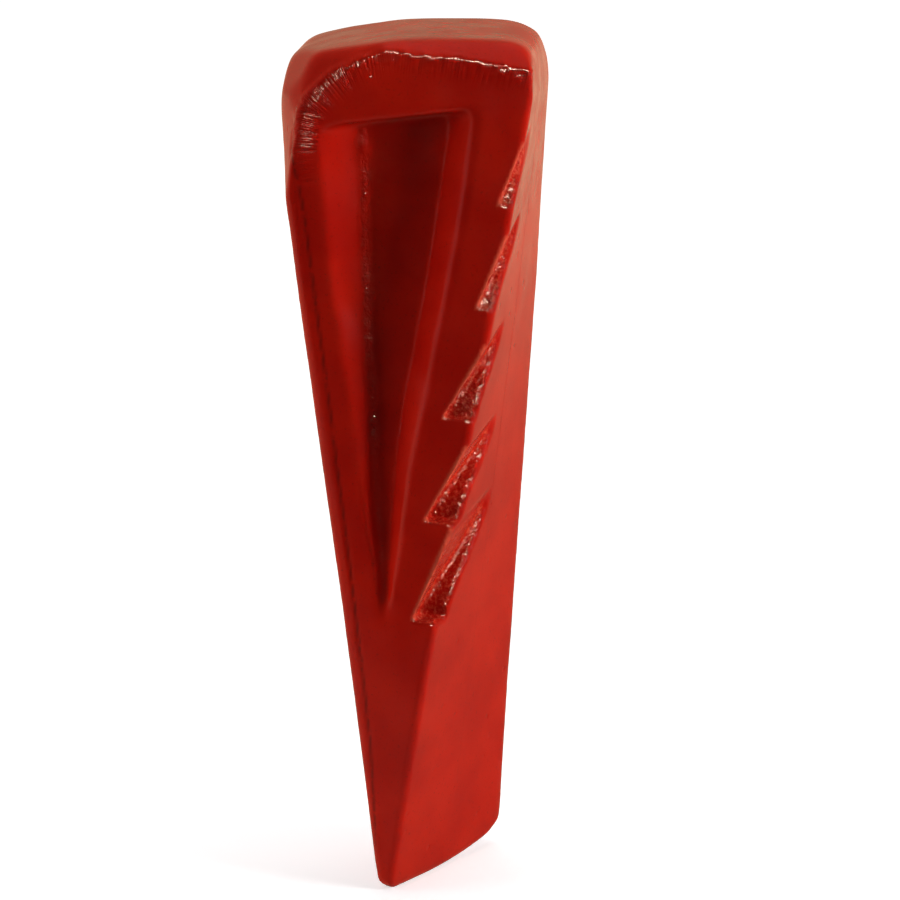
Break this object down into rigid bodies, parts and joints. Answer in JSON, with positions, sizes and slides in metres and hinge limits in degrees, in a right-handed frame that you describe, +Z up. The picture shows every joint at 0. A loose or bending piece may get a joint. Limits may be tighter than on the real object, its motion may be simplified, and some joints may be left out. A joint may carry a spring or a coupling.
{
  "type": "splitting wedge",
  "caption": "Heavy twisted steel wedge for splitting and felling wood, with a domed striking head, relief pockets and barbed edges.",
  "frame": {"origin": "under the middle of the cutting edge, on the plane that the edge's nose touches", "axes": "+Z up the wedge from the cutting edge to the struck face; X across the head's thickness; Y across the head's width, with the pocket that shows in front on -Y. The cutting edge is turned 34 degrees clockwise from the Y axis, seen from above."},
  "size_m": [0.0642, 0.0566, 0.22],
  "materials": {
    "red_paint": "glossy deep red paint over forged steel, with fine orange peel"
  },
  "bodies": {
    "root": {"wedge_body": "red_paint"}
  },
  "joints": []
}
